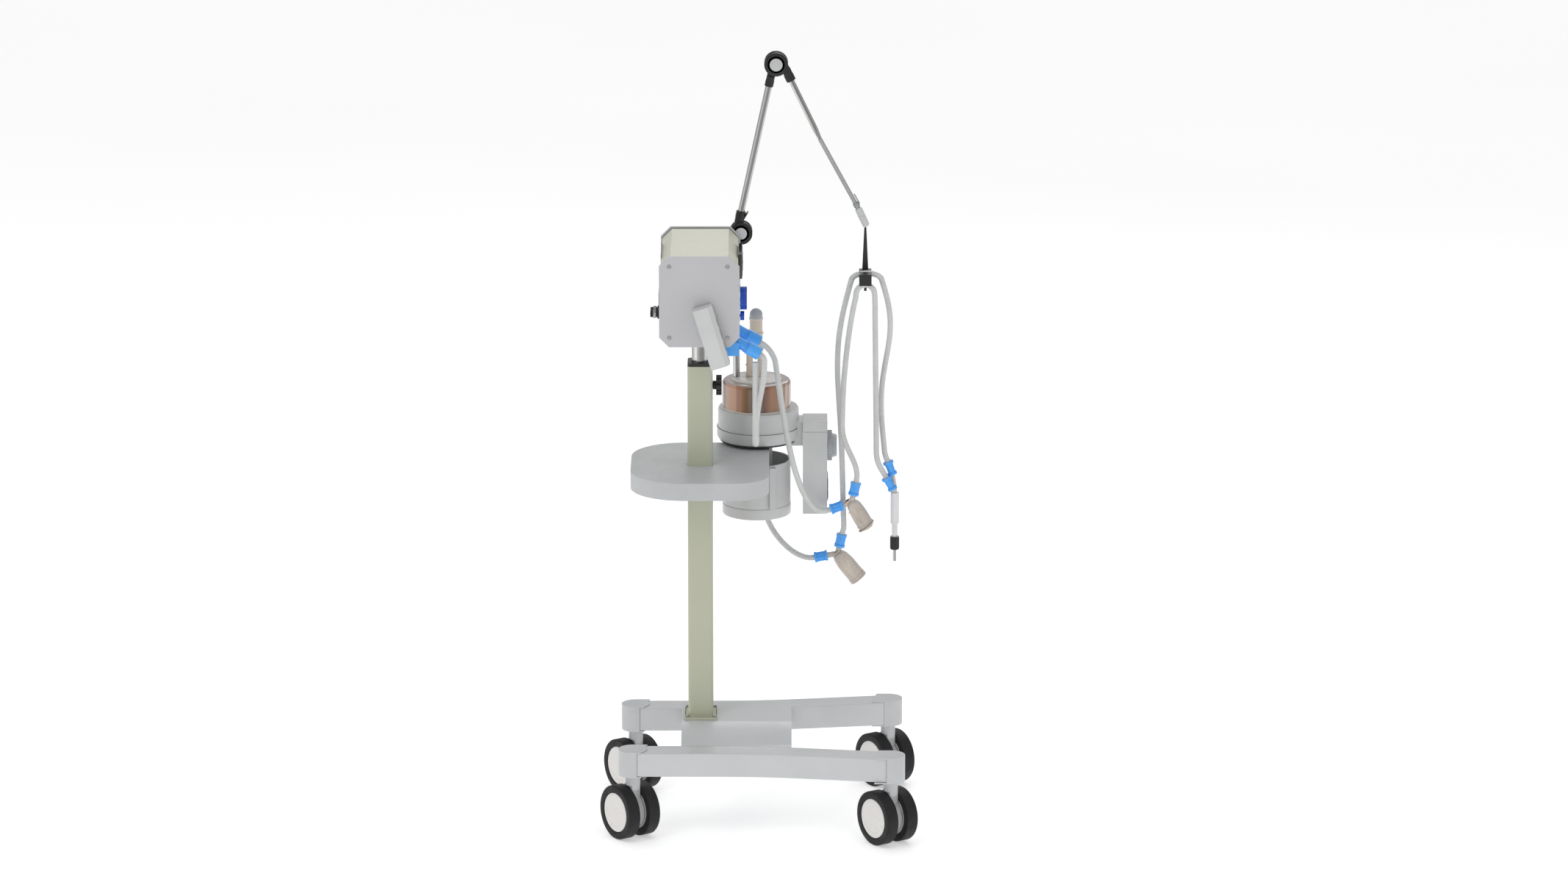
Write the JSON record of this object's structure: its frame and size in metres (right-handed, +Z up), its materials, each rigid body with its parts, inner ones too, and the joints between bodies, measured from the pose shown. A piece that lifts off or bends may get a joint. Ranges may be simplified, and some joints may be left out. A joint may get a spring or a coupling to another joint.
{
  "type": "mechanical ventilator",
  "caption": "Wheeled mechanical ventilator: small ventilator head on a lift column, tray, heated humidifier, support arm and hanging patient circuit.",
  "frame": {"origin": "on the floor, midway between the four casters", "axes": "+X towards the knob side, +Y towards the side that carries the support arm, +Z up"},
  "size_m": [0.7224, 0.5956, 1.751],
  "materials": {
    "painted_grey": "satin powder coat",
    "painted_sage": "satin powder coat, pale green-grey",
    "cap_plastic": "fine moulded texture",
    "fork_plastic": "moulded nylon",
    "tyre": "matt black tread",
    "hub": "smooth pale disc",
    "steel": "zinc plated",
    "chrome": "polished",
    "black_plastic": "moulded nylon",
    "tray_plastic": "fine moulded texture",
    "shell_cream": "satin cream paint",
    "plate_grey": "satin grey paint",
    "membrane": "polyester membrane",
    "display_black": "tinted window",
    "blue_plastic": "moulded",
    "sky_plastic": "moulded",
    "board": "circuit laminate",
    "alloy": "machined",
    "heater_plastic": "smooth moulded",
    "copper_tint": "translucent copper-brown",
    "tube_beige": "translucent beige",
    "lid_pale": "smooth moulded",
    "knob_grey": "moulded",
    "display_blue": "tinted window",
    "hose": "corrugated polyethylene",
    "trap": "translucent",
    "tip_plastic": "smooth moulded"
  },
  "bodies": {
    "trolley": {"legs": "painted_grey", "end_caps": "cap_plastic", "cross_beam": "painted_grey", "foot_plate": "painted_sage", "foot_bolts": "steel", "pole": "painted_sage", "pole_collar": "black_plastic", "tray": "tray_plastic", "humidifier_bracket": "alloy", "heater_base": "heater_plastic", "heater_plate": "alloy", "chamber": "copper_tint", "chamber_lid": "lid_pale", "chamber_tower": "tube_beige", "probe_rod": "chrome", "cup": "heater_plastic", "cup_ring": "heater_plastic", "control_box": "heater_plastic", "box_display": "display_blue"},
    "caster_front_left": {"fork_front_left": "fork_plastic"},
    "wheels_front_left": {"tyres_front_left": "tyre", "hubs_front_left": "hub"},
    "caster_front_right": {"fork_front_right": "fork_plastic"},
    "wheels_front_right": {"tyres_front_right": "tyre", "hubs_front_right": "hub"},
    "caster_rear_left": {"fork_rear_left": "fork_plastic"},
    "wheels_rear_left": {"tyres_rear_left": "tyre", "hubs_rear_left": "hub"},
    "caster_rear_right": {"fork_rear_right": "fork_plastic"},
    "wheels_rear_right": {"tyres_rear_right": "tyre", "hubs_rear_right": "hub"},
    "lock_knob": {"lock_knob": "black_plastic"},
    "head": {"mast": "chrome", "head_frame": "steel", "side_plates": "plate_grey", "shell": "shell_cream", "plate_screws": "steel", "front_panel": "membrane", "display": "display_black", "rear_panel": "black_plastic", "control_board": "board", "valve_block": "alloy", "power_supply": "alloy", "port_block": "sky_plastic", "arm_post": "black_plastic", "supply_hoses": "hose"},
    "flow_knob": {"flow_knob": "blue_plastic"},
    "pressure_knob": {"pressure_knob": "blue_plastic"},
    "side_bracket": {"side_bracket": "heater_plastic"},
    "heat_knob": {"heat_knob": "knob_grey"},
    "arm_lower": {"arm_lower": "black_plastic"},
    "arm_upper": {"arm_upper": "black_plastic", "gooseneck": "chrome", "hose_clamp": "fork_plastic"},
    "circuit": {"hanger": "black_plastic", "limb_outer": "hose", "limb_inner": "hose", "connectors": "sky_plastic", "water_traps": "trap", "patient_end": "tip_plastic"}
  },
  "joints": [
    {"name": "swivel_front_left", "type": "hinge", "parent": "trolley", "child": "caster_front_left", "pos_m": [0.2925, -0.22381, 0.17], "axis": [0, 0, 1], "continuous": true},
    {"name": "roll_front_left", "type": "hinge", "parent": "caster_front_left", "child": "wheels_front_left", "pos_m": [0.2857, -0.21392, 0.0625], "axis": [0.8241, 0.5664, 0], "continuous": true},
    {"name": "swivel_front_right", "type": "hinge", "parent": "trolley", "child": "caster_front_right", "pos_m": [0.2925, 0.22381, 0.17], "axis": [0, 0, 1], "continuous": true},
    {"name": "roll_front_right", "type": "hinge", "parent": "caster_front_right", "child": "wheels_front_right", "pos_m": [0.2857, 0.2337, 0.0625], "axis": [0.8241, 0.5664, 0], "continuous": true},
    {"name": "swivel_rear_left", "type": "hinge", "parent": "trolley", "child": "caster_rear_left", "pos_m": [-0.2925, -0.17847, 0.17], "axis": [0, 0, 1], "continuous": true},
    {"name": "roll_rear_left", "type": "hinge", "parent": "caster_rear_left", "child": "wheels_rear_left", "pos_m": [-0.2993, -0.16858, 0.0625], "axis": [0.8241, 0.5664, 0], "continuous": true},
    {"name": "swivel_rear_right", "type": "hinge", "parent": "trolley", "child": "caster_rear_right", "pos_m": [-0.2925, 0.17847, 0.17], "axis": [0, 0, 1], "continuous": true},
    {"name": "roll_rear_right", "type": "hinge", "parent": "caster_rear_right", "child": "wheels_rear_right", "pos_m": [-0.2993, 0.18836, 0.0625], "axis": [0.8241, 0.5664, 0], "continuous": true},
    {"name": "lock_turn", "type": "hinge", "parent": "trolley", "child": "lock_knob", "pos_m": [-0.1, 0, 1.017], "axis": [1, 0, 0], "range_deg": [-180, 180]},
    {"name": "height_slide", "type": "slide", "parent": "trolley", "child": "head", "axis": [0, 0, 1], "range_m": [0, 0.06], "deforming": ["supply_hoses"]},
    {"name": "flow_turn", "type": "hinge", "parent": "head", "child": "flow_knob", "pos_m": [-0.045, 0, 1.2196], "axis": [1, 0, 0], "range_deg": [-135, 135]},
    {"name": "pressure_turn", "type": "hinge", "parent": "head", "child": "pressure_knob", "pos_m": [-0.045, 0, 1.179], "axis": [1, 0, 0], "range_deg": [-135, 135]},
    {"name": "bracket_tilt", "type": "hinge", "parent": "head", "child": "side_bracket", "pos_m": [-0.12, -0.155, 1.226], "axis": [0, 1, 0], "range_deg": [-20, 17]},
    {"name": "heat_turn", "type": "hinge", "parent": "trolley", "child": "heat_knob", "pos_m": [0.155, 0.2, 0.823], "axis": [1, 0, 0], "range_deg": [-135, 135]},
    {"name": "arm_lower_tilt", "type": "hinge", "parent": "head", "child": "arm_lower", "pos_m": [-0.047, 0.172, 1.332], "axis": [0, 1, 0], "range_deg": [-5, 2]},
    {"name": "arm_upper_tilt", "type": "hinge", "parent": "arm_lower", "child": "arm_upper", "pos_m": [0.033, 0.172, 1.724], "axis": [0, 1, 0], "range_deg": [-5, 2]},
    {"name": "circuit_swing", "type": "hinge", "parent": "arm_upper", "child": "circuit", "pos_m": [0.236, 0.172, 1.352], "axis": [0, 1, 0], "range_deg": [-6, 3]}
  ]
}
